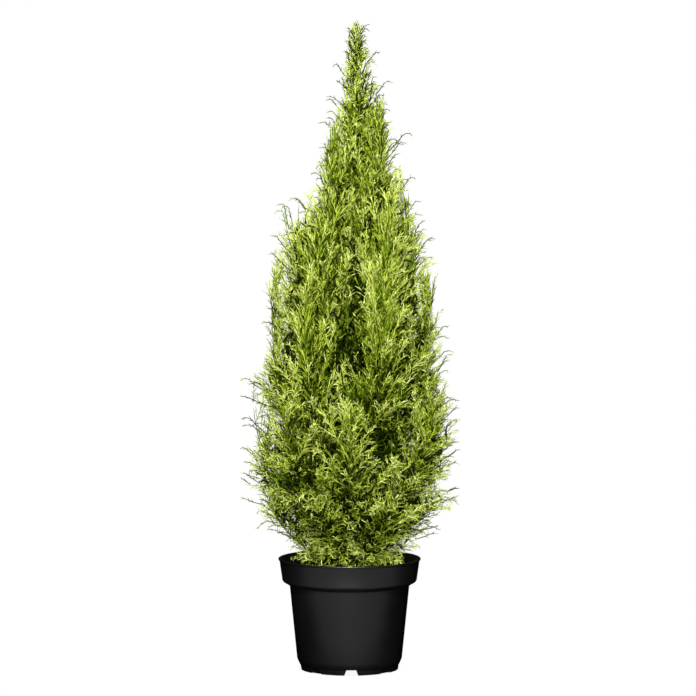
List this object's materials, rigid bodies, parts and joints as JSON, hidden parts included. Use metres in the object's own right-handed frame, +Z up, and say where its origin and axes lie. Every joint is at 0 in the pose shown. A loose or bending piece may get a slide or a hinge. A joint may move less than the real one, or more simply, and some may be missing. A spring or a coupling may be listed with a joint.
{
  "type": "potted lemon cypress",
  "caption": "Young lemon cypress, a flame-shaped evergreen conifer of upright feathery plumes, growing in a round black nursery pot with a deep collar.",
  "frame": {"origin": "middle of the flat underside of the pot, on the floor it stands on", "axes": "+Z up along the trunk, -Y towards the viewer, +X to the viewer's right, the side the leader leans to"},
  "size_m": [0.3284, 0.3252, 1.0194],
  "materials": {
    "black_plastic": "smooth moulded plastic with a soft sheen",
    "potting_soil": "dark crumbly compost",
    "bark": "thin fibrous reddish brown bark",
    "needles": "soft matt yellow-green foliage"
  },
  "bodies": {
    "root": {"bough_crest_1": "bark", "bough_crest_2": "bark", "bough_crest_3": "bark", "bough_low_1": "bark", "bough_low_2": "bark", "bough_low_3": "bark", "bough_low_4": "bark", "bough_low_5": "bark", "bough_low_6": "bark", "bough_low_7": "bark", "bough_middle_1": "bark", "bough_middle_2": "bark", "bough_middle_3": "bark", "bough_middle_4": "bark", "bough_middle_5": "bark", "bough_middle_6": "bark", "bough_skirt_1": "bark", "bough_skirt_2": "bark", "bough_skirt_3": "bark", "bough_skirt_4": "bark", "bough_skirt_5": "bark", "bough_skirt_6": "bark", "bough_skirt_7": "bark", "bough_upper_1": "bark", "bough_upper_2": "bark", "bough_upper_3": "bark", "bough_upper_4": "bark", "bough_upper_5": "bark", "foliage_crest_1": "needles", "foliage_crest_2": "needles", "foliage_crest_3": "needles", "foliage_leader": "needles", "foliage_low_1": "needles", "foliage_low_2": "needles", "foliage_low_3": "needles", "foliage_low_4": "needles", "foliage_low_5": "needles", "foliage_low_6": "needles", "foliage_low_7": "needles", "foliage_middle_1": "needles", "foliage_middle_2": "needles", "foliage_middle_3": "needles", "foliage_middle_4": "needles", "foliage_middle_5": "needles", "foliage_middle_6": "needles", "foliage_skirt_1": "needles", "foliage_skirt_2": "needles", "foliage_skirt_3": "needles", "foliage_skirt_4": "needles", "foliage_skirt_5": "needles", "foliage_skirt_6": "needles", "foliage_skirt_7": "needles", "foliage_upper_1": "needles", "foliage_upper_2": "needles", "foliage_upper_3": "needles", "foliage_upper_4": "needles", "foliage_upper_5": "needles", "pot": "black_plastic", "soil": "potting_soil", "trunk": "bark"}
  },
  "joints": []
}
